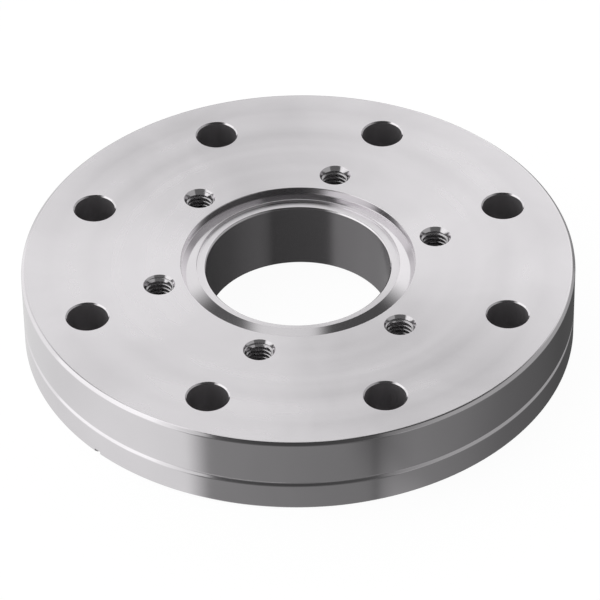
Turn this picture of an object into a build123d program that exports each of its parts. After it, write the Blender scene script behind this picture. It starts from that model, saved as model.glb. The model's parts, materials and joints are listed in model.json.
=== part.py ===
"""Zero-length reducing flange for metal-gasket (knife-edge) vacuum joints.

One turned disc of stainless steel. Its large side, at Z = 0, takes a 63 mm nominal
flange on eight through bolts. Its small side, at Z = thickness, takes a 40 mm nominal
flange on six screws in blind tapped holes. Sizes are in millimetres.
"""

import os
from math import radians, tan

from build123d import *

# Disc
outer_diameter = 114.0
thickness = 17.5
rim_chamfer = 0.8
rim_groove_height = 6.75
rim_groove_depth = 0.7
rim_groove_angle = 90.0

# Through bore
bore_diameter = 38.0
bore_chamfer = 0.3

# Knife edge, the same section on both sides
knife_slope = 20.0
knife_tip_depth = 0.66
knife_tip_flat = 0.1
land_depth = 1.3
recess_edge_break = 0.1

# Small side: land, knife edge and gasket recess, counted outwards from the bore
small_land_width = 1.95
small_seat_width = 3.2

# Screws of the small side: tapped holes, counted outwards from its recess
tapped_hole_count = 6
tapped_first_angle = 15.0
tap_drill_diameter = 5.0
tapped_mouth_diameter = 6.5
tapped_mouth_angle = 90.0
tapped_web = 1.95
tapped_floor = 1.8
drill_point_angle = 118.0

# Bolts of the large side: plain through holes, counted inwards from the rim
bolt_hole_count = 8
bolt_hole_diameter = 8.4
bolt_edge_distance = 10.9
bolt_hole_chamfer = 0.4

# Large side: gasket recess and knife edge, counted inwards from the bolt holes
large_recess_web = 0.65
large_seat_width = 2.7

# Leak-check grooves across the large sealing face
leak_groove_count = 2
leak_groove_width = 1.6
leak_groove_depth = 1.4
leak_groove_overrun = 0.5

# Radii that follow from the sizes above
rim_radius = outer_diameter / 2
bore_radius = bore_diameter / 2
small_tip_radius = bore_radius + small_land_width
small_recess_radius = small_tip_radius + small_seat_width
tapped_circle_radius = small_recess_radius + tapped_web + tapped_mouth_diameter / 2
bolt_circle_radius = rim_radius - bolt_edge_distance
bolt_hole_radius = bolt_hole_diameter / 2
large_recess_radius = bolt_circle_radius - bolt_hole_radius - large_recess_web
large_tip_radius = large_recess_radius - large_seat_width

# The bolt holes straddle the X axis, and each leak-check groove runs midway between two of them
bolt_pitch_angle = 360 / bolt_hole_count
bolt_first_angle = bolt_pitch_angle / 2
leak_groove_angle = bolt_first_angle + bolt_pitch_angle / 2

# The tapped holes stop short of the land on the large side, drill point included
drill_point_length = tap_drill_diameter / 2 / tan(radians(drill_point_angle / 2))
tapped_floor_height = land_depth + tapped_floor
tap_drill_depth = thickness - tapped_floor_height - drill_point_length


def knife_edge_section(face_height, inward, tip_radius, recess_radius):
    """Points of one gasket seat, from the land at the knife edge out to the sealing face.

    inward is +1 where the material lies above the face and -1 where it lies below.
    """
    slope_start_radius = tip_radius + knife_tip_flat
    seat_fall = (recess_radius - slope_start_radius) * tan(radians(knife_slope))
    return [
        (tip_radius, face_height + inward * land_depth),
        (tip_radius, face_height + inward * knife_tip_depth),
        (slope_start_radius, face_height + inward * knife_tip_depth),
        (recess_radius, face_height + inward * (knife_tip_depth + seat_fall)),
        (recess_radius, face_height + inward * recess_edge_break),
        (recess_radius + recess_edge_break, face_height),
    ]


small_seat = knife_edge_section(thickness, -1, small_tip_radius, small_recess_radius)
large_seat = knife_edge_section(0, 1, large_tip_radius, large_recess_radius)
rim_groove_half_width = rim_groove_depth * tan(radians(rim_groove_angle / 2))

with BuildPart() as reducer_flange:
    # Turned form: the half section from the bore out over the large side, up the rim
    # and back over the small side, turned about the axis
    with BuildSketch(Plane.XZ):
        with BuildLine():
            Polyline(
                (bore_radius, land_depth + bore_chamfer),
                (bore_radius + bore_chamfer, land_depth),
                *large_seat,
                (rim_radius - rim_chamfer, 0),
                (rim_radius, rim_chamfer),
                (rim_radius, rim_groove_height - rim_groove_half_width),
                (rim_radius - rim_groove_depth, rim_groove_height),
                (rim_radius, rim_groove_height + rim_groove_half_width),
                (rim_radius, thickness - rim_chamfer),
                (rim_radius - rim_chamfer, thickness),
                *reversed(small_seat),
                (bore_radius + bore_chamfer, thickness - land_depth),
                (bore_radius, thickness - land_depth - bore_chamfer),
                close=True,
            )
        make_face()
    revolve(axis=Axis.Z)

    # Through holes for the bolts of the large side, chamfered at both mouths
    with PolarLocations(bolt_circle_radius, bolt_hole_count, start_angle=bolt_first_angle):
        Hole(radius=bolt_hole_radius)
    bolt_hole_walls = (
        reducer_flange.faces()
        .filter_by(GeomType.CYLINDER)
        .filter_by(lambda face: abs(face.radius - bolt_hole_radius) < 1e-6)
    )
    bolt_hole_mouths = bolt_hole_walls.edges().filter_by(GeomType.CIRCLE)
    chamfer(bolt_hole_mouths, length=bolt_hole_chamfer)

    # Blind drilled holes for the screws of the small side, countersunk at the mouth
    with Locations(Location((0, 0, thickness))):
        with PolarLocations(tapped_circle_radius, tapped_hole_count, start_angle=tapped_first_angle):
            CounterSinkHole(
                radius=tap_drill_diameter / 2,
                counter_sink_radius=tapped_mouth_diameter / 2,
                depth=tap_drill_depth,
                counter_sink_angle=tapped_mouth_angle,
            )

    # Cone that the drill point leaves at the foot of each
    with Locations(Location((0, 0, tapped_floor_height))):
        with PolarLocations(tapped_circle_radius, tapped_hole_count, start_angle=tapped_first_angle):
            Cone(
                bottom_radius=0,
                top_radius=tap_drill_diameter / 2,
                height=drill_point_length,
                align=(Align.CENTER, Align.CENTER, Align.MIN),
                mode=Mode.SUBTRACT,
            )

    # Leak-check grooves, from the gasket recess out through the rim
    leak_groove_start = large_recess_radius - leak_groove_overrun
    leak_groove_end = rim_radius + leak_groove_overrun
    with BuildSketch(Plane.XY):
        with PolarLocations(
            (leak_groove_start + leak_groove_end) / 2, leak_groove_count, start_angle=leak_groove_angle
        ):
            Rectangle(leak_groove_end - leak_groove_start, leak_groove_width)
    extrude(amount=leak_groove_depth, mode=Mode.SUBTRACT)

reducer_flange.part.label = "reducer_flange"

os.makedirs("parts", exist_ok=True)
export_step(reducer_flange.part, "parts/reducer_flange.step")
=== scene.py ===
"""Looks of the zero-length reducing vacuum flange, laid out as an add-on.

The disc is turned from its half section, drilled for the bolts, tapped for the screws and
given its machined finishes. The stage is a pale floor with soft studio light. Lengths are
in metres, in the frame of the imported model: +Z along the bore, the large side at Z = 0.
"""

import json
import math

import bpy
from mathutils import Matrix, Vector

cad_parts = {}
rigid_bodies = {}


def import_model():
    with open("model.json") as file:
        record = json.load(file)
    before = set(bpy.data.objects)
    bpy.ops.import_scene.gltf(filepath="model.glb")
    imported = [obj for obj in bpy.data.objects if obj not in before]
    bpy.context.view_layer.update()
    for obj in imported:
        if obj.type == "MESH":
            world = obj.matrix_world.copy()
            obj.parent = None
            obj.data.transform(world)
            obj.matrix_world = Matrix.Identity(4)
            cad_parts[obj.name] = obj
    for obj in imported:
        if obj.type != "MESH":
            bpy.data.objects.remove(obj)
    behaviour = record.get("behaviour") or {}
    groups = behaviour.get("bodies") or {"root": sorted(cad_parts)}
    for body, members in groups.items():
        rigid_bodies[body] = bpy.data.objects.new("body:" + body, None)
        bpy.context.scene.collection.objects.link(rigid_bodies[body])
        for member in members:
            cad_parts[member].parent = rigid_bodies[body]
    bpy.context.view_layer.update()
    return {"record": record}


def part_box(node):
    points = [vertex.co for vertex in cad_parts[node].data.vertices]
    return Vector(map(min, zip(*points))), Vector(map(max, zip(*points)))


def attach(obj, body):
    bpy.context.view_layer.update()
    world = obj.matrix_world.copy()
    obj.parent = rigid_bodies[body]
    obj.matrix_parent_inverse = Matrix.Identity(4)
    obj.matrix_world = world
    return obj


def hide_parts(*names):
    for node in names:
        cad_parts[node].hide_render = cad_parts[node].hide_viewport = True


bl_info = {
    "name": "Reducing vacuum flange",
    "version": (1, 0, 0),
    "blender": (4, 5, 0),
    "location": "View3D > Sidebar > Flange",
    "description": "Models the reducing flange, its threads, finishes and studio",
    "category": "Add Mesh",
}

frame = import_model()
mounts = {mount["name"]: mount for mount in frame["record"]["mounts"]}

MM = 0.001
SAME_CORNER = 0.0005 * MM
NODE = "reducer_flange"
PIECE = "flange_body"
BOLT_MOUNT = "outer_bolt_circle"
SCREW_MOUNT = "inner_tapped_circle"
cad_low, cad_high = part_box(NODE)


def cad_length(mount_name, dimension):
    """A mount's dimension from the frame, in metres."""
    return mounts[mount_name]["dims"][dimension] * MM


# ---------------------------------------------------------------- properties


def length(name, description, default):
    """A length property in metres."""
    return bpy.props.FloatProperty(
        name=name, description=description, default=default, min=0.0, unit="LENGTH", precision=5
    )


def slant(name, description, degrees):
    """An angle property, given in degrees."""
    return bpy.props.FloatProperty(
        name=name, description=description, default=math.radians(degrees), subtype="ANGLE"
    )


def hole_count(name, description, mount_name):
    """A count property, from a mount's circle of holes."""
    return bpy.props.IntProperty(
        name=name, description=description, default=mounts[mount_name]["dims"]["count"], min=1
    )


def tint(name, description, default):
    """A colour property."""
    return bpy.props.FloatVectorProperty(
        name=name, description=description, default=default, subtype="COLOR", size=3, min=0.0, max=1.0
    )


class FlangeSizes(bpy.types.PropertyGroup):
    """Sizes of the turned disc and its holes."""

    outer_diameter: length("Outer diameter", "Across the rim", cad_high.x - cad_low.x)
    thickness: length("Thickness", "Between the two sealing faces", cad_high.z - cad_low.z)
    rim_chamfer: length("Rim chamfer", "At the rim's lower edge", 0.8 * MM)
    top_chamfer: length("Top chamfer", "At the rim's upper edge", 0.65 * MM)
    groove_height: length("Rim groove height", "Above the large sealing face", 6.75 * MM)
    groove_depth: length("Rim groove depth", "Depth of the V-shaped groove", 0.53 * MM)
    bore_diameter: length("Bore", "Diameter of the through bore", 2 * cad_length("bore", "r_mm"))
    bore_chamfer: length("Bore chamfer", "At both mouths of the bore", 0.3 * MM)
    land_depth: length("Land depth", "From a sealing face to the land inside the knife edge", 1.3 * MM)
    knife_depth: length("Knife-edge depth", "From a sealing face to the knife edge", 0.66 * MM)
    knife_flat: length("Knife-edge flat", "Width of the blunt tip", 0.1 * MM)
    knife_slope: slant("Knife-edge slope", "Fall of the gasket seat outside the knife edge", 20)
    recess_edge_break: length("Recess edge", "Chamfer at the top of a gasket recess", 0.1 * MM)
    small_knife_diameter: length("Small knife edge", "Diameter at its tip", 41.9 * MM)
    small_recess_diameter: length("Small recess", "Diameter of the gasket recess", 48.3 * MM)
    large_knife_diameter: length("Large knife edge", "Diameter at its tip", 77.1 * MM)
    large_recess_diameter: length("Large recess", "Diameter of the gasket recess", 82.5 * MM)
    bolt_count: hole_count("Bolt holes", "Plain holes on the outer circle", BOLT_MOUNT)
    bolt_circle: length("Bolt circle", "Diameter, of the plain holes", cad_length(BOLT_MOUNT, "pcd_mm"))
    bolt_radius: length("Bolt hole radius", "Of a plain hole", cad_length(BOLT_MOUNT, "hole_r_mm"))
    bolt_chamfer: length("Bolt hole chamfer", "At both mouths", 0.28 * MM)
    screw_count: hole_count("Tapped holes", "Threaded holes on the inner circle", SCREW_MOUNT)
    screw_circle: length("Screw circle", "Diameter, of the tapped holes", cad_length(SCREW_MOUNT, "pcd_mm"))
    screw_first_angle: slant("First tapped hole", "Angle from +X", 15)
    tap_drill_radius: length("Tap drill radius", "Crest of the thread", cad_length(SCREW_MOUNT, "hole_r_mm"))
    thread_radius: length("Thread radius", "Root of the thread", 3.0 * MM)
    thread_pitch: length("Thread pitch", "Height of one turn", 1.0 * MM)
    thread_foot_height: length("Thread foot", "Height of the lowest turn above the large face", 4.6 * MM)
    drill_tip_height: length("Drill tip", "Height of the drill point above the large face", 3.1 * MM)
    screw_mouth_radius: length("Countersink radius", "Mouth of a tapped hole", 3.25 * MM)
    screw_mouth_angle: slant("Countersink angle", "Between opposite sides of the countersink", 60)
    leak_groove_width: length("Leak-check groove width", "Across the large face", 1.6 * MM)
    leak_groove_depth: length("Leak-check groove depth", "Into the large face", 1.4 * MM)
    edge_round: length("Edge rounding", "Radius left on a deburred edge", 0.12 * MM)
    knife_round: length("Knife-edge rounding", "Radius on the knife edge's corners", 0.03 * MM)


class FlangeColours(bpy.types.PropertyGroup):
    """Colours of the steel and of the studio."""

    steel: tint("Steel", "Reflected colour of the turned steel", (0.765, 0.745, 0.765))
    # Darker than the turned steel: painted shade inside the bore and the holes
    bore_steel_and_painted_shade: tint("Bored steel", "Reflected colour inside the bore and the holes", (0.46, 0.445, 0.46))
    thread_steel: tint("Cut threads", "Reflected colour of the cut threads", (0.62, 0.605, 0.62))
    floor: tint("Floor", "Colour of the studio floor", (0.97, 0.97, 0.97))


# ------------------------------------------------------------ modelling tools


def deselect_all():
    """Leaves nothing selected, so that an operator touches only what it is given."""
    for item in bpy.context.scene.objects:
        item.select_set(False)


def activate(item):
    """Makes one object the only selected and the active one."""
    deselect_all()
    item.select_set(True)
    bpy.context.view_layer.objects.active = item


def apply_place(item):
    """Moves an object's place into its mesh."""
    activate(item)
    bpy.ops.object.transform_apply(location=True, rotation=True, scale=True)


def start_profile(name, first_point):
    """A mesh of one vertex at (radius, height), left in edit mode for extruding a section."""
    deselect_all()
    bpy.ops.mesh.primitive_plane_add(size=MM, location=(first_point[0], 0.0, first_point[1]))
    item = bpy.context.object
    item.name = name
    apply_place(item)
    bpy.ops.object.mode_set(mode="EDIT")
    bpy.ops.mesh.select_mode(type="VERT")
    bpy.ops.mesh.select_all(action="SELECT")
    bpy.ops.mesh.merge(type="CENTER")
    return item


def extrude_profile(points):
    """Extrudes the selected vertex from each (radius, height) point to the next."""
    for here, there in zip(points, points[1:]):
        step = (there[0] - here[0], 0.0, there[1] - here[1])
        bpy.ops.mesh.extrude_region_move(TRANSFORM_OT_translate={"value": step})


def round_corner(item, point, radius, segments):
    """Rounds the corner of a wire section at a (radius, height) point."""
    bpy.ops.mesh.select_all(action="DESELECT")
    bpy.ops.object.mode_set(mode="OBJECT")
    corner = Vector((point[0], 0.0, point[1]))
    nearest = min(item.data.vertices, key=lambda vertex: (vertex.co - corner).length)
    for vertex in item.data.vertices:
        vertex.select = vertex == nearest
    bpy.ops.object.mode_set(mode="EDIT")
    bpy.ops.mesh.bevel(offset=radius, offset_type="OFFSET", segments=segments, affect="VERTICES")


def spin_section(segments):
    """Turns the section about the Z axis into a closed body, its faces pointing outwards."""
    bpy.ops.mesh.select_all(action="SELECT")
    bpy.ops.mesh.spin(
        steps=segments, angle=math.tau, center=(0.0, 0.0, 0.0), axis=(0.0, 0.0, 1.0), use_auto_merge=True
    )
    bpy.ops.mesh.select_all(action="SELECT")
    bpy.ops.mesh.remove_doubles(threshold=SAME_CORNER)
    bpy.ops.mesh.normals_make_consistent(inside=False)
    bpy.ops.object.mode_set(mode="OBJECT")


def copies_round_axis(item, radius, count, first_angle):
    """Copies a cutter that stands on the Z axis to each place on a circle, and removes the first."""
    copies = []
    for index in range(count):
        angle = first_angle + math.tau * index / count
        activate(item)
        bpy.ops.object.duplicate(linked=False)
        copy = bpy.context.object
        copy.location = (radius * math.cos(angle), radius * math.sin(angle), 0.0)
        copy.rotation_euler.z = angle
        apply_place(copy)
        copies.append(copy)
    bpy.data.objects.remove(item)
    return copies


def cut_away(item, cutters):
    """Joins separate closed cutters and subtracts them; new faces keep the cutters' materials."""
    activate(cutters[0])
    for cutter in cutters:
        cutter.select_set(True)
    bpy.ops.object.join()
    cutter = bpy.context.object
    activate(item)
    bpy.ops.object.modifier_add(type="BOOLEAN")
    modifier = item.modifiers[-1]
    modifier.operation = "DIFFERENCE"
    modifier.solver = "EXACT"
    modifier.material_mode = "TRANSFER"
    modifier.object = cutter
    bpy.ops.object.modifier_apply(modifier=modifier.name)
    bpy.data.objects.remove(cutter)


# ------------------------------------------------------------ shader groups


def add_node(tree, kind, **inputs):
    """Adds a node and sets its unlinked inputs by name."""
    node = tree.nodes.new(kind)
    for name, value in inputs.items():
        node.inputs[name.replace("_", " ")].default_value = value
    return node


def math_node(tree, operation, first, second=None):
    """A Math node on two sockets or numbers; returns its output."""
    node = tree.nodes.new("ShaderNodeMath")
    node.operation = operation
    for socket, value in zip(node.inputs, (first, second)):
        if isinstance(value, (int, float)):
            socket.default_value = value
        elif value is not None:
            tree.links.new(value, socket)
    return node.outputs[0]


def new_group(name, inputs, outputs):
    """A shader node group with float and vector sockets; returns it with its end nodes."""
    tree = bpy.data.node_groups.new(name, "ShaderNodeTree")
    for socket_name, kind in inputs:
        tree.interface.new_socket(name=socket_name, in_out="INPUT", socket_type=kind)
    for socket_name, kind in outputs:
        tree.interface.new_socket(name=socket_name, in_out="OUTPUT", socket_type=kind)
    return tree, tree.nodes.new("NodeGroupInput"), tree.nodes.new("NodeGroupOutput")


def turning_marks_group():
    """Fine concentric marks that a lathe tool leaves on faces, chamfers and walls alike."""
    name = "turning_marks"
    if name in bpy.data.node_groups:
        return bpy.data.node_groups[name]
    tree, start, end = new_group(
        name,
        [("Position", "NodeSocketVector"), ("Pitch", "NodeSocketFloat"), ("Waviness", "NodeSocketFloat")],
        [("Height", "NodeSocketFloat"), ("Mask", "NodeSocketFloat")],
    )
    split = add_node(tree, "ShaderNodeSeparateXYZ")
    tree.links.new(start.outputs["Position"], split.inputs[0])
    x, y, z = split.outputs
    x_squared = math_node(tree, "MULTIPLY", x, x)
    y_squared = math_node(tree, "MULTIPLY", y, y)
    radius = math_node(tree, "SQRT", math_node(tree, "ADD", x_squared, y_squared))
    # On a face the radius changes and on a wall the height does: the sum counts marks on both
    height_share = 1.37
    travel = math_node(tree, "ADD", radius, math_node(tree, "MULTIPLY", z, height_share))
    turns = math_node(tree, "DIVIDE", travel, start.outputs["Pitch"])
    fine = add_node(tree, "ShaderNodeTexNoise", Scale=1.0, Detail=3.0, Roughness=0.7)
    fine.noise_dimensions = "1D"
    tree.links.new(turns, fine.inputs["W"])
    broad = add_node(tree, "ShaderNodeTexNoise", Scale=0.045, Detail=2.0, Roughness=0.5)
    broad.noise_dimensions = "1D"
    tree.links.new(turns, broad.inputs["W"])
    bands = math_node(tree, "MULTIPLY", broad.outputs[0], start.outputs["Waviness"])
    tree.links.new(math_node(tree, "ADD", fine.outputs[0], bands), end.inputs["Height"])
    tree.links.new(broad.outputs[0], end.inputs["Mask"])
    return tree


def handling_marks_group():
    """Faint wiped smudges and hairline scratches from handling."""
    name = "handling_marks"
    if name in bpy.data.node_groups:
        return bpy.data.node_groups[name]
    tree, start, end = new_group(
        name,
        [("Position", "NodeSocketVector"), ("Scale", "NodeSocketFloat")],
        [("Smudge", "NodeSocketFloat"), ("Scratch", "NodeSocketFloat")],
    )
    smudge = add_node(tree, "ShaderNodeTexNoise", Detail=4.0, Roughness=0.55, Distortion=0.6)
    tree.links.new(start.outputs["Position"], smudge.inputs["Vector"])
    tree.links.new(start.outputs["Scale"], smudge.inputs["Scale"])
    smudge_range = add_node(tree, "ShaderNodeMapRange", From_Min=0.35, From_Max=0.72)
    tree.links.new(smudge.outputs[0], smudge_range.inputs["Value"])
    tree.links.new(smudge_range.outputs[0], end.inputs["Smudge"])
    # Scratches: thin crests of a noise drawn out along a slanting line
    stretch = add_node(tree, "ShaderNodeMapping", Rotation=(0.0, 0.0, 0.35), Scale=(14.0, 260.0, 60.0))
    tree.links.new(start.outputs["Position"], stretch.inputs["Vector"])
    hair = add_node(tree, "ShaderNodeTexNoise", Scale=6.0, Detail=2.0, Roughness=0.6, Distortion=0.25)
    tree.links.new(stretch.outputs[0], hair.inputs["Vector"])
    hair_range = add_node(tree, "ShaderNodeMapRange", From_Min=0.66, From_Max=0.74)
    tree.links.new(hair.outputs[0], hair_range.inputs["Value"])
    tree.links.new(hair_range.outputs[0], end.inputs["Scratch"])
    return tree


# ---------------------------------------------------------------- materials


def steel_material(
    name, colour, roughness, anisotropy, pitch, waviness, mark_depth, smudge_tone, metallic=1.0
):
    """Machined stainless steel, with marks that follow the tool round the axis."""
    if name in bpy.data.materials:
        return bpy.data.materials[name]
    smudge_scale = 38.0
    scratch_height = -0.6
    least_roughness = 0.75 * roughness
    band_roughness = 0.3 * roughness
    smudge_roughness = 0.2 * roughness
    across_grain = 0.25
    material = bpy.data.materials.new(name)
    material.use_nodes = True
    tree = material.node_tree
    shader = tree.nodes["Principled BSDF"]
    shader.inputs["Metallic"].default_value = metallic
    shader.inputs["Anisotropic"].default_value = anisotropy
    place = add_node(tree, "ShaderNodeTexCoord").outputs["Object"]

    turning = add_node(tree, "ShaderNodeGroup")
    turning.node_tree = turning_marks_group()
    turning.inputs["Pitch"].default_value = pitch
    turning.inputs["Waviness"].default_value = waviness
    tree.links.new(place, turning.inputs["Position"])
    handling = add_node(tree, "ShaderNodeGroup")
    handling.node_tree = handling_marks_group()
    handling.inputs["Scale"].default_value = smudge_scale
    tree.links.new(place, handling.inputs["Position"])

    tone = add_node(tree, "ShaderNodeMix")
    tone.data_type = "RGBA"
    clean_colour, dull_colour = tone.inputs[6], tone.inputs[7]
    clean_colour.default_value = (*colour, 1.0)
    dull_colour.default_value = (*(part * (1 - smudge_tone) for part in colour), 1.0)
    tree.links.new(handling.outputs["Smudge"], tone.inputs[0])
    tree.links.new(tone.outputs[2], shader.inputs["Base Color"])

    banded = math_node(tree, "MULTIPLY", turning.outputs["Mask"], band_roughness)
    dulled = math_node(tree, "MULTIPLY", handling.outputs["Smudge"], smudge_roughness)
    extra = math_node(tree, "ADD", banded, dulled)
    tree.links.new(math_node(tree, "ADD", extra, least_roughness), shader.inputs["Roughness"])

    scratched = math_node(tree, "MULTIPLY", handling.outputs["Scratch"], scratch_height)
    bump = add_node(tree, "ShaderNodeBump", Strength=1.0, Distance=mark_depth)
    tree.links.new(math_node(tree, "ADD", turning.outputs["Height"], scratched), bump.inputs["Height"])
    tree.links.new(bump.outputs[0], shader.inputs["Normal"])

    # The grain runs round the axis, so highlights stretch across it
    shader.inputs["Anisotropic Rotation"].default_value = across_grain
    grain = add_node(tree, "ShaderNodeVectorMath")
    grain.operation = "CROSS_PRODUCT"
    grain.inputs[0].default_value = (0.0, 0.0, 1.0)
    tree.links.new(place, grain.inputs[1])
    tree.links.new(grain.outputs[0], shader.inputs["Tangent"])
    return material


def face_material():
    """Fine-turned satin faces."""
    colours = bpy.context.scene.flange_colours
    return steel_material(
        "turned_face",
        colours.steel,
        roughness=0.3,
        anisotropy=0.75,
        pitch=0.22 * MM,
        waviness=0.6,
        mark_depth=0.0005 * MM,
        smudge_tone=0.05,
    )


def rim_material():
    """Smooth turned rim, chamfers, gasket recesses, countersinks and leak-check grooves."""
    colours = bpy.context.scene.flange_colours
    return steel_material(
        "turned_rim",
        colours.steel,
        roughness=0.13,
        anisotropy=0.3,
        pitch=0.16 * MM,
        waviness=1.0,
        mark_depth=0.0002 * MM,
        smudge_tone=0.06,
    )


def bore_material():
    """Wall of the bore, a little duller, its darker colour painted shade inside the bore."""
    colours = bpy.context.scene.flange_colours
    return steel_material(
        "bored_wall",
        colours.bore_steel_and_painted_shade,
        roughness=0.2,
        anisotropy=0.3,
        pitch=0.3 * MM,
        waviness=2.0,
        mark_depth=0.0004 * MM,
        smudge_tone=0.1,
        metallic=0.9,
    )


def drilled_material():
    """Drilled walls of the bolt holes, their darker colour painted shade inside the holes."""
    colours = bpy.context.scene.flange_colours
    return steel_material(
        "drilled_wall",
        colours.bore_steel_and_painted_shade,
        roughness=0.45,
        anisotropy=0.0,
        pitch=0.25 * MM,
        waviness=1.0,
        mark_depth=0.0006 * MM,
        smudge_tone=0.1,
        metallic=0.72,
    )


def thread_material():
    """Cut threads, a little duller than the turned surfaces."""
    colours = bpy.context.scene.flange_colours
    return steel_material(
        "cut_thread",
        colours.thread_steel,
        roughness=0.22,
        anisotropy=0.0,
        pitch=0.12 * MM,
        waviness=1.0,
        mark_depth=0.0002 * MM,
        smudge_tone=0.05,
        metallic=0.78,
    )


# ---------------------------------------------------------------- operators


def knife_edge_section(sizes, face_height, inward, knife_radius, recess_radius):
    """(point, rounding) pairs of one gasket seat, from the land out to the sealing face."""
    slope_start = knife_radius + sizes.knife_flat
    fall = (recess_radius - slope_start) * math.tan(sizes.knife_slope)
    foot = sizes.knife_depth + fall
    return [
        ((knife_radius, face_height + inward * sizes.land_depth), sizes.edge_round),
        ((knife_radius, face_height + inward * sizes.knife_depth), sizes.knife_round),
        ((slope_start, face_height + inward * sizes.knife_depth), sizes.knife_round),
        ((recess_radius, face_height + inward * foot), sizes.edge_round),
        ((recess_radius, face_height + inward * sizes.recess_edge_break), sizes.knife_round),
        ((recess_radius + sizes.recess_edge_break, face_height), sizes.knife_round),
    ]


class FLANGE_OT_turn_disc(bpy.types.Operator):
    """Turns the disc from its half section, both gasket seats and the rim groove included"""

    bl_idname = "flange.turn_disc"
    bl_label = "Turn the disc"

    def execute(self, context):
        sizes = context.scene.flange_sizes
        rim = sizes.outer_diameter / 2
        bore = sizes.bore_diameter / 2
        top = sizes.thickness
        soft = sizes.edge_round
        corner_segments = 3
        turn_segments = 360
        face_tilt = math.radians(5)
        wall_gap = 0.02 * MM
        groove_low = sizes.groove_height - sizes.groove_depth
        groove_high = sizes.groove_height + sizes.groove_depth
        large_seat = knife_edge_section(
            sizes, 0.0, 1, sizes.large_knife_diameter / 2, sizes.large_recess_diameter / 2
        )
        small_seat = knife_edge_section(
            sizes, top, -1, sizes.small_knife_diameter / 2, sizes.small_recess_diameter / 2
        )
        section = [
            ((bore, sizes.land_depth + sizes.bore_chamfer), soft / 2),
            ((bore + sizes.bore_chamfer, sizes.land_depth), soft / 2),
            *large_seat,
            ((rim - sizes.rim_chamfer, 0.0), soft),
            ((rim, sizes.rim_chamfer), soft),
            ((rim, groove_low), soft),
            ((rim - sizes.groove_depth, sizes.groove_height), soft),
            ((rim, groove_high), soft),
            ((rim, top - sizes.top_chamfer), soft),
            ((rim - sizes.top_chamfer, top), 1.5 * soft),
            *reversed(small_seat),
            ((bore + sizes.bore_chamfer, top - sizes.land_depth), soft / 2),
            ((bore, top - sizes.land_depth - sizes.bore_chamfer), soft / 2),
        ]
        points = [point for point, rounding in section]
        disc = start_profile(PIECE, points[0])
        extrude_profile([*points, points[0]])
        bpy.ops.mesh.select_all(action="SELECT")
        bpy.ops.mesh.remove_doubles(threshold=SAME_CORNER)
        for point, rounding in section:
            round_corner(disc, point, rounding, corner_segments)
        spin_section(turn_segments)

        for finish in (face_material(), rim_material(), bore_material()):
            disc.data.materials.append(finish)
        face_index, rim_index, bore_index = range(3)
        for face in disc.data.polygons:
            radius = math.hypot(face.center.x, face.center.y)
            facing_up = abs(face.normal.z) > math.cos(face_tilt)
            if radius < bore + wall_gap:
                face.material_index = bore_index
            elif facing_up:
                face.material_index = face_index
            else:
                face.material_index = rim_index
        return {"FINISHED"}


class FLANGE_OT_drill_bolt_holes(bpy.types.Operator):
    """Drills and chamfers the bolt holes, and cuts the two leak-check grooves"""

    bl_idname = "flange.drill_bolt_holes"
    bl_label = "Drill the bolt holes"

    def execute(self, context):
        sizes = context.scene.flange_sizes
        disc = bpy.data.objects[PIECE]
        top = sizes.thickness
        radius = sizes.bolt_radius
        chamfer = sizes.bolt_chamfer
        overrun = 1.0 * MM
        drill_segments = 96
        pitch_angle = math.tau / sizes.bolt_count

        # A drill with a chamfering flare at each end, turned from its own section
        section = [
            (0.0, -overrun),
            (radius + chamfer + overrun, -overrun),
            (radius, chamfer),
            (radius, top - chamfer),
            (radius + chamfer + overrun, top + overrun),
            (0.0, top + overrun),
        ]
        drill = start_profile("bolt_drill", section[0])
        extrude_profile(section)
        spin_section(drill_segments)
        drill.data.materials.append(drilled_material())
        drill.data.materials.append(rim_material())
        wall_tilt = 0.1
        for face in drill.data.polygons:
            upright = abs(face.normal.z) < wall_tilt
            face.material_index = 0 if upright else 1
        cutters = copies_round_axis(drill, sizes.bolt_circle / 2, sizes.bolt_count, pitch_angle / 2)

        # Each leak-check groove runs midway between two bolt holes, from the recess to the rim
        leak_groove_count = 2
        mill_overrun = 0.5 * MM
        start = sizes.large_recess_diameter / 2 - mill_overrun
        end = sizes.outer_diameter / 2 + mill_overrun
        deselect_all()
        bpy.ops.mesh.primitive_cube_add(size=1.0)
        mill = bpy.context.object
        mill.scale = (end - start, sizes.leak_groove_width, 2 * sizes.leak_groove_depth)
        apply_place(mill)
        mill.data.materials.append(rim_material())
        cutters += copies_round_axis(mill, (start + end) / 2, leak_groove_count, pitch_angle)
        cut_away(disc, cutters)
        return {"FINISHED"}


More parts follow.
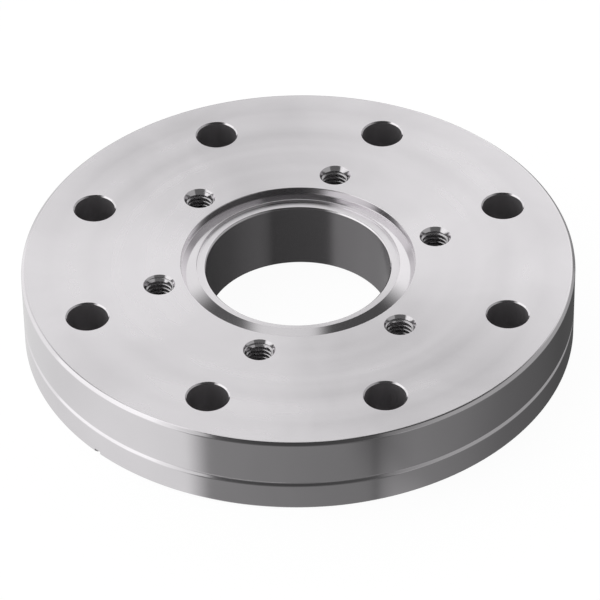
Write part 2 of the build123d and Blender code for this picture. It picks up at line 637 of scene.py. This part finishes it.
class FLANGE_OT_tap_screw_holes(bpy.types.Operator):
    """Countersinks the screw holes and cuts their threads as true helices"""

    bl_idname = "flange.tap_screw_holes"
    bl_label = "Tap the screw holes"

    def execute(self, context):
        sizes = context.scene.flange_sizes
        disc = bpy.data.objects[PIECE]
        top = sizes.thickness
        mouth = sizes.screw_mouth_radius
        flare = math.tan(sizes.screw_mouth_angle / 2)
        overlap = 0.1 * MM
        reach = (mouth - sizes.tap_drill_radius + overlap) / flare
        overrun = 0.5 * MM
        circle = sizes.screw_circle / 2
        # Turned a little, which keeps the cut mesh free of edges that four faces share
        offset_turn = math.radians(1.7)

        deselect_all()
        sink_segments = 72
        bpy.ops.mesh.primitive_cone_add(
            vertices=sink_segments,
            radius1=mouth - reach * flare,
            radius2=mouth + overrun * flare,
            depth=reach + overrun,
            location=(0.0, 0.0, top + (overrun - reach) / 2),
            rotation=(0.0, 0.0, offset_turn),
        )
        sink = bpy.context.object
        apply_place(sink)
        sink.data.materials.append(rim_material())
        cut_away(disc, copies_round_axis(sink, circle, sizes.screw_count, sizes.screw_first_angle))

        tap = self.thread_cutter(sizes)
        cut_away(disc, copies_round_axis(tap, circle, sizes.screw_count, sizes.screw_first_angle))
        return {"FINISHED"}

    def thread_cutter(self, sizes):
        """A closed spindle with the thread's form: one turn's section, wound up by a Screw modifier."""
        flank_angle = math.radians(30)
        turn_steps = 48
        seam_gap = 0.001 * MM
        crest = sizes.tap_drill_radius
        root = sizes.thread_radius
        pitch = sizes.thread_pitch
        foot = sizes.thread_foot_height
        root_flat = pitch / 8
        flank = (root - crest) * math.tan(flank_angle)
        crest_flat = pitch - root_flat - 2 * flank
        turns = math.ceil((sizes.thickness - foot) / pitch) + 1
        section = [
            (crest, foot),
            (crest, foot + crest_flat),
            (root, foot + crest_flat + flank),
            (root, foot + crest_flat + flank + root_flat),
            (crest, foot + pitch),
        ]
        tap = start_profile("tap", section[0])
        extrude_profile(section)
        bpy.ops.object.mode_set(mode="OBJECT")
        bpy.ops.object.modifier_add(type="SCREW")
        wind = tap.modifiers[-1]
        wind.angle = math.tau
        wind.screw_offset = pitch
        wind.iterations = turns
        wind.steps = turn_steps
        wind.render_steps = turn_steps
        bpy.ops.object.modifier_apply(modifier=wind.name)
        bpy.ops.object.mode_set(mode="EDIT")
        bpy.ops.mesh.select_all(action="SELECT")
        bpy.ops.mesh.remove_doubles(threshold=seam_gap)

        middle = (2 * foot + (turns + 1) * pitch) / 2
        tips = ((True, sizes.drill_tip_height), (False, foot + (turns + 2) * pitch))
        for low_end, tip_height in tips:
            self.close_end(tap, middle, low_end, tip_height)
        bpy.ops.object.mode_set(mode="EDIT")
        bpy.ops.mesh.select_all(action="SELECT")
        bpy.ops.mesh.normals_make_consistent(inside=False)
        bpy.ops.object.mode_set(mode="OBJECT")
        tap.data.materials.append(thread_material())
        return tap

    def close_end(self, tap, middle, low_end, tip_height):
        """Draws the open edge at one end of the spindle in to a point on the axis."""
        bpy.ops.object.mode_set(mode="EDIT")
        bpy.ops.mesh.select_all(action="DESELECT")
        bpy.ops.mesh.select_non_manifold()
        bpy.ops.object.mode_set(mode="OBJECT")
        for vertex in tap.data.vertices:
            if (vertex.co.z < middle) != low_end:
                vertex.select = False
        for edge in tap.data.edges:
            edge.select = edge.select and all(tap.data.vertices[index].select for index in edge.vertices)
        bpy.ops.object.mode_set(mode="EDIT")
        bpy.ops.mesh.extrude_edges_move()
        bpy.ops.mesh.merge(type="CENTER")
        bpy.ops.object.mode_set(mode="OBJECT")
        tip = next(vertex for vertex in tap.data.vertices if vertex.select)
        tip.co = (0.0, 0.0, tip_height)


class FLANGE_OT_finish_flange(bpy.types.Operator):
    """Shades the machined surfaces smooth between their edges and puts the flange in the frame"""

    bl_idname = "flange.finish_flange"
    bl_label = "Finish the flange"

    def execute(self, context):
        disc = bpy.data.objects[PIECE]
        cut_gap = 0.002 * MM
        sharp_angle = math.radians(8)
        activate(disc)
        # The cuts leave some corners twice in almost the same place
        bpy.ops.object.mode_set(mode="EDIT")
        bpy.ops.mesh.select_all(action="SELECT")
        bpy.ops.mesh.remove_doubles(threshold=cut_gap)
        bpy.ops.mesh.dissolve_degenerate(threshold=cut_gap)
        bpy.ops.object.mode_set(mode="OBJECT")
        bpy.ops.object.shade_smooth_by_angle(angle=sharp_angle)
        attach(disc, "root")
        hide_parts(NODE)
        return {"FINISHED"}


# -------------------------------------------------------------------- stage


def ramp_by_angle(tree, angle, stops):
    """Brightness by compass angle: stops are (degrees from the front, brightness), left negative."""
    ramp = tree.nodes.new("ShaderNodeValToRGB")
    share = math_node(tree, "ADD", math_node(tree, "DIVIDE", angle, math.tau), 0.5)
    tree.links.new(share, ramp.inputs[0])
    elements = ramp.color_ramp.elements
    while len(elements) > 1:
        elements.remove(elements[-1])
    for index, (degrees, brightness) in enumerate(stops):
        element = elements[0] if index == 0 else elements.new(degrees / 360 + 0.5)
        element.position = degrees / 360 + 0.5
        element.color = (brightness, brightness, brightness, 1.0)
    return ramp.outputs[0]


def blend_colours(tree, share, first, second):
    """Mix of two colour sockets or greys by a share."""
    node = tree.nodes.new("ShaderNodeMix")
    node.data_type = "RGBA"
    tree.links.new(share, node.inputs[0])
    for socket, value in ((node.inputs[6], first), (node.inputs[7], second)):
        if isinstance(value, (int, float)):
            socket.default_value = (value, value, value, 1.0)
        else:
            tree.links.new(value, socket)
    return node.outputs[2]


def smooth_share(tree, value, low, high):
    """0 below low, 1 above high, smooth between."""
    node = add_node(tree, "ShaderNodeMapRange", From_Min=low, From_Max=high)
    node.interpolation_type = "SMOOTHSTEP"
    tree.links.new(value, node.inputs["Value"])
    return node.outputs[0]


def build_world():
    """A white background, and round the object a studio with a bright left and a dim front."""
    world = bpy.data.worlds.new("studio")
    bpy.context.scene.world = world
    world.use_nodes = True
    tree = world.node_tree
    tree.nodes.clear()
    direction = add_node(tree, "ShaderNodeTexCoord").outputs["Generated"]
    split = add_node(tree, "ShaderNodeSeparateXYZ")
    tree.links.new(direction, split.inputs[0])
    x, y, z = split.outputs
    angle = math_node(tree, "ARCTAN2", x, math_node(tree, "MULTIPLY", y, -1.0))
    # What surrounds the object, at four heights: (degrees from the front, brightness)
    below_stops = [
        (-180, 0.75), (-120, 0.78), (-90, 0.86), (-48, 0.8), (-38, 0.25), (0, 0.225), (30, 0.2), (32, 0.13),
        (35, 0.26), (40, 0.36), (50, 0.42), (75, 0.34), (95, 0.25), (120, 0.2), (140, 0.15), (180, 0.145),
    ]
    level_stops = [
        (-180, 0.15), (-173, 0.15), (-166, 0.45), (-158, 0.6), (-145, 1.03), (-50, 1.08), (-38, 0.14),
        (35, 0.14), (37, 0.42), (140, 0.42), (152, 0.7), (160, 1.1), (175, 1.15), (177, 0.15),
    ]
    raised_stops = [
        (-180, 0.97), (-145, 0.95), (-130, 0.7), (-120, 1.0), (-41, 1.05), (-37, 0.14),
        (35, 0.14), (37, 0.42), (115, 0.42), (132, 0.85), (150, 1.08),
    ]
    high_stops = [
        (-180, 0.1), (-128, 0.1), (-118, 1.1), (-60, 1.1), (-52, 0.04), (60, 0.04), (90, 0.08), (180, 0.08),
    ]
    below = ramp_by_angle(tree, angle, below_stops)
    level = ramp_by_angle(tree, angle, level_stops)
    raised = ramp_by_angle(tree, angle, raised_stops)
    high = ramp_by_angle(tree, angle, high_stops)
    # A long light overhead, from above the object towards the back
    strip_brightness = 0.8
    strip_left = smooth_share(tree, x, -0.3, -0.2)
    strip_right = smooth_share(tree, x, 0.16, 0.06)
    strip_front = smooth_share(tree, y, -0.03, 0.06)
    strip_sides = math_node(tree, "MULTIPLY", strip_left, strip_right)
    strip = math_node(tree, "MULTIPLY", strip_sides, strip_front)
    high = blend_colours(tree, strip, high, strip_brightness)
    # Each height runs over into the next between two values of z
    lower = blend_colours(tree, smooth_share(tree, z, -0.45, -0.1), below, level)
    middle = blend_colours(tree, smooth_share(tree, z, 0.18, 0.4), lower, raised)
    studio = blend_colours(tree, smooth_share(tree, z, 0.62, 0.8), middle, high)
    white = 1.0
    path = add_node(tree, "ShaderNodeLightPath")
    seen = blend_colours(tree, path.outputs["Is Camera Ray"], studio, white)
    background = add_node(tree, "ShaderNodeBackground")
    tree.links.new(seen, background.inputs["Color"])
    output = tree.nodes.new("ShaderNodeOutputWorld")
    tree.links.new(background.outputs[0], output.inputs["Surface"])


def floor_material(footprint):
    """Pale floor that stays white to the camera but keeps a faint shadow."""
    paint_share = 0.1
    glow_share = 0.985
    # Painted shade under the flange and a painted shadow to its right, seen only by reflections through the
    # floor
    painted_shade_under_flange = 0.4
    painted_shadow_right_of_flange = 0.55
    painted_shadow_start, painted_shadow_full = 14 * MM, 30 * MM
    painted_shade_edge_start = footprint * 0.9
    material = bpy.data.materials.new("studio_floor")
    material.use_nodes = True
    tree = material.node_tree
    tree.nodes.clear()
    colour = bpy.context.scene.flange_colours.floor
    paint_colour = (*(part * paint_share for part in colour), 1.0)
    glow_colour = (*(part * glow_share for part in colour), 1.0)
    paint = add_node(tree, "ShaderNodeBsdfDiffuse", Color=paint_colour)
    glow = add_node(tree, "ShaderNodeEmission", Strength=1.0, Color=glow_colour)
    both = tree.nodes.new("ShaderNodeAddShader")
    tree.links.new(paint.outputs[0], both.inputs[0])
    tree.links.new(glow.outputs[0], both.inputs[1])

    # Reflections see the studio past the floor, through painted shade under the flange and a painted shadow
    # to its right
    place = add_node(tree, "ShaderNodeTexCoord").outputs["Object"]
    distance = tree.nodes.new("ShaderNodeVectorMath")
    distance.operation = "LENGTH"
    tree.links.new(place, distance.inputs[0])
    split = add_node(tree, "ShaderNodeSeparateXYZ")
    tree.links.new(place, split.inputs[0])
    painted_shadow_share = smooth_share(tree, split.outputs[0], painted_shadow_start, painted_shadow_full)
    painted_shadow_right = blend_colours(tree, painted_shadow_share, 1.0, painted_shadow_right_of_flange)
    beyond_painted_shade = smooth_share(tree, distance.outputs["Value"], painted_shade_edge_start, footprint)
    painted_shadow_tint = blend_colours(tree, beyond_painted_shade, painted_shade_under_flange, painted_shadow_right)
    unseen = tree.nodes.new("ShaderNodeBsdfTransparent")
    tree.links.new(painted_shadow_tint, unseen.inputs["Color"])

    path = add_node(tree, "ShaderNodeLightPath")
    final = tree.nodes.new("ShaderNodeMixShader")
    tree.links.new(path.outputs["Is Camera Ray"], final.inputs[0])
    tree.links.new(unseen.outputs[0], final.inputs[1])
    tree.links.new(both.outputs[0], final.inputs[2])
    output = tree.nodes.new("ShaderNodeOutputMaterial")
    tree.links.new(final.outputs[0], output.inputs["Surface"])
    return material


def add_softbox(name, place, target, size, power):
    """A square area lamp at a place, turned to face a target."""
    bpy.ops.object.light_add(type="AREA", location=place)
    lamp = bpy.context.object
    lamp.name = name
    lamp.data.shape = "SQUARE"
    lamp.data.size = size
    lamp.data.energy = power
    lamp.rotation_euler = (Vector(target) - Vector(place)).to_track_quat("-Z", "Y").to_euler()


def add_camera(target):
    """A long lens from the front and above, turned a little about its own axis."""
    elevation = math.radians(39.67)
    turn = math.radians(0.97)
    tilt = math.radians(0.94)
    distance = 0.905
    aim_right = 0.27 * MM
    aim_up = -8.16 * MM
    right = Vector((math.cos(turn), math.sin(turn), 0.0))
    level = Vector((-math.sin(turn), math.cos(turn), 0.0))
    forward = level * math.cos(elevation) - Vector((0.0, 0.0, math.sin(elevation)))
    up = right.cross(forward)
    bpy.ops.object.camera_add()
    camera = bpy.context.object
    camera.name = "camera"
    camera.data.lens = 263.95
    camera.data.sensor_width = 36.0
    camera.data.clip_start = 0.01
    camera.location = target + right * aim_right + up * aim_up - forward * distance
    side = right * math.cos(tilt) - up * math.sin(tilt)
    head = right * math.sin(tilt) + up * math.cos(tilt)
    axes = (side, head, -forward)
    columns = [[axis[row] for axis in axes] for row in range(3)]
    camera.rotation_euler = Matrix(columns).to_euler()
    bpy.context.scene.camera = camera


class FLANGE_OT_set_stage(bpy.types.Operator):
    """Sets the floor, the soft studio light and the camera"""

    bl_idname = "flange.set_stage"
    bl_label = "Set the stage"

    def execute(self, context):
        sizes = context.scene.flange_sizes
        deselect_all()
        floor_size = 6.0
        bpy.ops.mesh.primitive_plane_add(size=floor_size)
        floor = bpy.context.object
        floor.name = "floor"
        floor.data.materials.append(floor_material(sizes.outer_diameter / 2))
        build_world()
        centre = (0.0, 0.0, sizes.thickness / 2)
        add_softbox("left_softbox", place=(-0.72, -0.1, 0.52), target=centre, size=0.6, power=0.25)
        add_camera(Vector((0.0, 0.0, sizes.thickness)))
        context.scene.view_settings.view_transform = "Standard"
        return {"FINISHED"}


# -------------------------------------------------------------------- panel


OPERATORS = (
    FLANGE_OT_turn_disc,
    FLANGE_OT_drill_bolt_holes,
    FLANGE_OT_tap_screw_holes,
    FLANGE_OT_finish_flange,
    FLANGE_OT_set_stage,
)


class FLANGE_PT_build(bpy.types.Panel):
    """Sidebar panel with the flange's sizes, colours and building steps"""

    bl_idname = "FLANGE_PT_build"
    bl_label = "Reducing flange"
    bl_space_type = "VIEW_3D"
    bl_region_type = "UI"
    bl_category = "Flange"

    def draw(self, context):
        for group in (context.scene.flange_sizes, context.scene.flange_colours):
            column = self.layout.column(align=True)
            for name in group.__annotations__:
                column.prop(group, name)
        for operator in OPERATORS:
            self.layout.operator(operator.bl_idname)


CLASSES = (FlangeSizes, FlangeColours, *OPERATORS, FLANGE_PT_build)


def register():
    """Registers the classes and puts the sizes and colours on the scene."""
    for item in CLASSES:
        bpy.utils.register_class(item)
    bpy.types.Scene.flange_sizes = bpy.props.PointerProperty(type=FlangeSizes)
    bpy.types.Scene.flange_colours = bpy.props.PointerProperty(type=FlangeColours)


def unregister():
    """Takes the sizes, the colours and the classes away again."""
    del bpy.types.Scene.flange_colours
    del bpy.types.Scene.flange_sizes
    for item in reversed(CLASSES):
        bpy.utils.unregister_class(item)


def main():
    """Builds the flange and its stage."""
    register()
    bpy.ops.flange.turn_disc()
    bpy.ops.flange.drill_bolt_holes()
    bpy.ops.flange.tap_screw_holes()
    bpy.ops.flange.finish_flange()
    bpy.ops.flange.set_stage()


if __name__ == "__main__":
    main()
